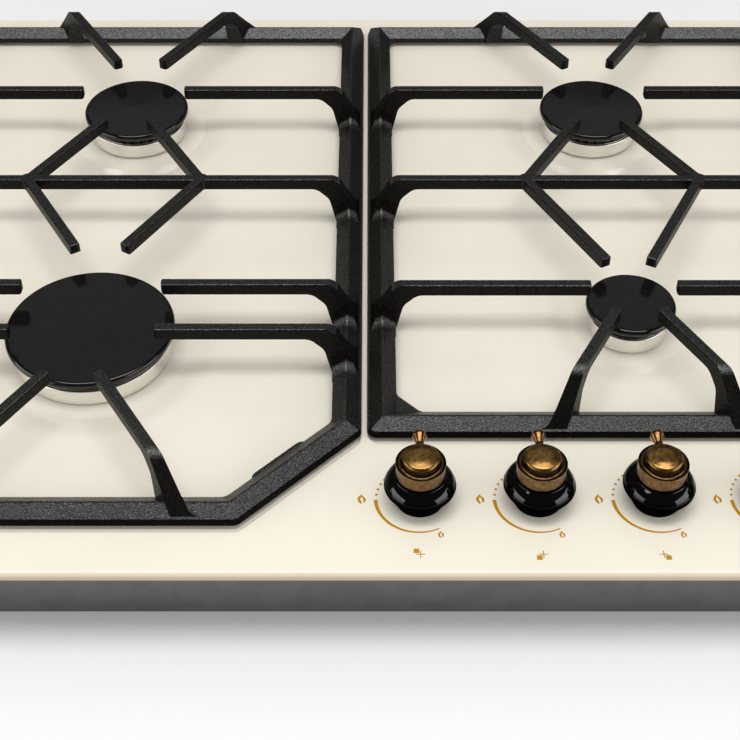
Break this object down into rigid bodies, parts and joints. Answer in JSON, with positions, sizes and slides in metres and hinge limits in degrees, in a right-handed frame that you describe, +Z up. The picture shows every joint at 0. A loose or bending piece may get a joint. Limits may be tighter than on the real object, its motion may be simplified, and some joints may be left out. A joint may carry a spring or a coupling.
{
  "type": "built-in gas cooktop",
  "caption": "Built-in gas cooktop with an enamelled top, round burners with caps, cast-iron grates, turning knobs at the front right, and a steel tray below with worktop clamps.",
  "frame": {"origin": "middle of the top in plan, at the height of the worktop that the rim seal rests on", "axes": "+X to the right as seen from the knobs' side, +Y to the rear, +Z up"},
  "size_m": [0.6, 0.51, 0.0853],
  "materials": {
    "enamel": "glossy ivory enamel on pressed steel",
    "seal_foam": "closed-cell foam strip",
    "tray_steel": "galvanised sheet",
    "cast_iron": "matt black enamel on cast iron",
    "pad_rubber": "matt silicone",
    "cup_aluminium": "die cast",
    "head_aluminium": "turned and brushed",
    "cap_enamel": "semi-gloss black enamel",
    "brass": "machined",
    "ceramic": "glazed white",
    "probe_steel": "plain",
    "knob_black": "glossy",
    "knob_bronze": "bronze patina, polished",
    "pointer_brass": "bronze, polished",
    "spindle_steel": "turned",
    "collar_plastic": "moulded",
    "spring_steel": "drawn wire",
    "seal_black": "satin black",
    "valve_aluminium": "die cast",
    "rail_steel": "zinc plated",
    "pipe_aluminium": "drawn",
    "inlet_brass": "machined",
    "switch_plastic": "moulded",
    "generator_plastic": "moulded",
    "gland_plastic": "moulded",
    "clamp_steel": "zinc plated"
  },
  "bodies": {
    "housing": {"bottom_tray": "tray_steel", "cable_gland": "gland_plastic", "clamp_screws": "clamp_steel", "electrode_ceramics": "ceramic", "electrode_pins": "probe_steel", "front_left_burner_cup": "cup_aluminium", "front_right_burner_cup": "cup_aluminium", "gas_inlet": "inlet_brass", "gas_pipes": "pipe_aluminium", "gas_rail": "rail_steel", "gas_valves": "valve_aluminium", "hob_top": "enamel", "ignition_switches": "switch_plastic", "injectors": "brass", "knob_1_return_spring": "spring_steel", "knob_2_return_spring": "spring_steel", "knob_3_return_spring": "spring_steel", "knob_4_return_spring": "spring_steel", "knob_seals": "seal_black", "rear_left_burner_cup": "cup_aluminium", "rear_right_burner_cup": "cup_aluminium", "rim_seal": "seal_foam", "spark_generator": "generator_plastic", "thermocouples": "probe_steel"},
    "left_grate": {"left_grate": "cast_iron", "left_grate_pads": "pad_rubber"},
    "right_grate": {"right_grate": "cast_iron", "right_grate_pads": "pad_rubber"},
    "front_left_head": {"front_left_burner_head": "head_aluminium"},
    "front_left_cap": {"front_left_burner_cap": "cap_enamel"},
    "rear_left_head": {"rear_left_burner_head": "head_aluminium"},
    "rear_left_cap": {"rear_left_burner_cap": "cap_enamel"},
    "front_right_head": {"front_right_burner_head": "head_aluminium"},
    "front_right_cap": {"front_right_burner_cap": "cap_enamel"},
    "rear_right_head": {"rear_right_burner_head": "head_aluminium"},
    "rear_right_cap": {"rear_right_burner_cap": "cap_enamel"},
    "collar_1": {"knob_1_push_collar": "collar_plastic"},
    "knob_1": {"knob_1_skirt": "knob_black", "knob_1_cap": "knob_bronze", "knob_1_pointer": "pointer_brass", "knob_1_spindle": "spindle_steel"},
    "clamp_1": {"worktop_clamp_1": "clamp_steel"},
    "collar_2": {"knob_2_push_collar": "collar_plastic"},
    "knob_2": {"knob_2_skirt": "knob_black", "knob_2_cap": "knob_bronze", "knob_2_pointer": "pointer_brass", "knob_2_spindle": "spindle_steel"},
    "clamp_2": {"worktop_clamp_2": "clamp_steel"},
    "collar_3": {"knob_3_push_collar": "collar_plastic"},
    "knob_3": {"knob_3_skirt": "knob_black", "knob_3_cap": "knob_bronze", "knob_3_pointer": "pointer_brass", "knob_3_spindle": "spindle_steel"},
    "clamp_3": {"worktop_clamp_3": "clamp_steel"},
    "collar_4": {"knob_4_push_collar": "collar_plastic"},
    "knob_4": {"knob_4_skirt": "knob_black", "knob_4_cap": "knob_bronze", "knob_4_pointer": "pointer_brass", "knob_4_spindle": "spindle_steel"},
    "clamp_4": {"worktop_clamp_4": "clamp_steel"}
  },
  "joints": [
    {"name": "knob_1_push", "type": "slide", "parent": "housing", "child": "collar_1", "axis": [0, 0, -1], "range_m": [0, 0.0035], "stiffness_N_per_m": 3000, "springref_m": -0.001, "deforming": ["knob_1_return_spring"]},
    {"name": "knob_1_turn", "type": "hinge", "parent": "collar_1", "child": "knob_1", "pos_m": [0.0276, -0.208, 0.02], "axis": [0, 0, 1], "range_deg": [0, 205]},
    {"name": "knob_2_push", "type": "slide", "parent": "housing", "child": "collar_2", "axis": [0, 0, -1], "range_m": [0, 0.0035], "stiffness_N_per_m": 3000, "springref_m": -0.001, "deforming": ["knob_2_return_spring"]},
    {"name": "knob_2_turn", "type": "hinge", "parent": "collar_2", "child": "knob_2", "pos_m": [0.08645, -0.208, 0.02], "axis": [0, 0, 1], "range_deg": [0, 205]},
    {"name": "knob_3_push", "type": "slide", "parent": "housing", "child": "collar_3", "axis": [0, 0, -1], "range_m": [0, 0.0035], "stiffness_N_per_m": 3000, "springref_m": -0.001, "deforming": ["knob_3_return_spring"]},
    {"name": "knob_3_turn", "type": "hinge", "parent": "collar_3", "child": "knob_3", "pos_m": [0.1453, -0.208, 0.02], "axis": [0, 0, 1], "range_deg": [0, 205]},
    {"name": "knob_4_push", "type": "slide", "parent": "housing", "child": "collar_4", "axis": [0, 0, -1], "range_m": [0, 0.0035], "stiffness_N_per_m": 3000, "springref_m": -0.001, "deforming": ["knob_4_return_spring"]},
    {"name": "knob_4_turn", "type": "hinge", "parent": "collar_4", "child": "knob_4", "pos_m": [0.20415, -0.208, 0.02], "axis": [0, 0, 1], "range_deg": [0, 205]},
    {"name": "left_grate_lift", "type": "slide", "parent": "housing", "child": "left_grate", "axis": [0, 0, 1], "range_m": [0, 0.04]},
    {"name": "right_grate_lift", "type": "slide", "parent": "housing", "child": "right_grate", "axis": [0, 0, 1], "range_m": [0, 0.04]},
    {"name": "front_left_head_lift", "type": "slide", "parent": "housing", "child": "front_left_head", "axis": [0, 0, 1], "range_m": [0, 0.007]},
    {"name": "front_left_cap_lift", "type": "slide", "parent": "front_left_head", "child": "front_left_cap", "axis": [0, 0, 1], "range_m": [0, 0.007]},
    {"name": "rear_left_head_lift", "type": "slide", "parent": "housing", "child": "rear_left_head", "axis": [0, 0, 1], "range_m": [0, 0.007]},
    {"name": "rear_left_cap_lift", "type": "slide", "parent": "rear_left_head", "child": "rear_left_cap", "axis": [0, 0, 1], "range_m": [0, 0.007]},
    {"name": "front_right_head_lift", "type": "slide", "parent": "housing", "child": "front_right_head", "axis": [0, 0, 1], "range_m": [0, 0.007]},
    {"name": "front_right_cap_lift", "type": "slide", "parent": "front_right_head", "child": "front_right_cap", "axis": [0, 0, 1], "range_m": [0, 0.007]},
    {"name": "rear_right_head_lift", "type": "slide", "parent": "housing", "child": "rear_right_head", "axis": [0, 0, 1], "range_m": [0, 0.007]},
    {"name": "rear_right_cap_lift", "type": "slide", "parent": "rear_right_head", "child": "rear_right_cap", "axis": [0, 0, 1], "range_m": [0, 0.007]},
    {"name": "clamp_1_swing", "type": "hinge", "parent": "housing", "child": "clamp_1", "pos_m": [-0.262, -0.12, -0.0422], "axis": [0, 0, -1], "range_deg": [0, 90]},
    {"name": "clamp_2_swing", "type": "hinge", "parent": "housing", "child": "clamp_2", "pos_m": [-0.262, 0.17, -0.0422], "axis": [0, 0, -1], "range_deg": [0, 90]},
    {"name": "clamp_3_swing", "type": "hinge", "parent": "housing", "child": "clamp_3", "pos_m": [0.262, -0.12, -0.0422], "axis": [0, 0, 1], "range_deg": [0, 90]},
    {"name": "clamp_4_swing", "type": "hinge", "parent": "housing", "child": "clamp_4", "pos_m": [0.262, 0.17, -0.0422], "axis": [0, 0, 1], "range_deg": [0, 90]}
  ]
}
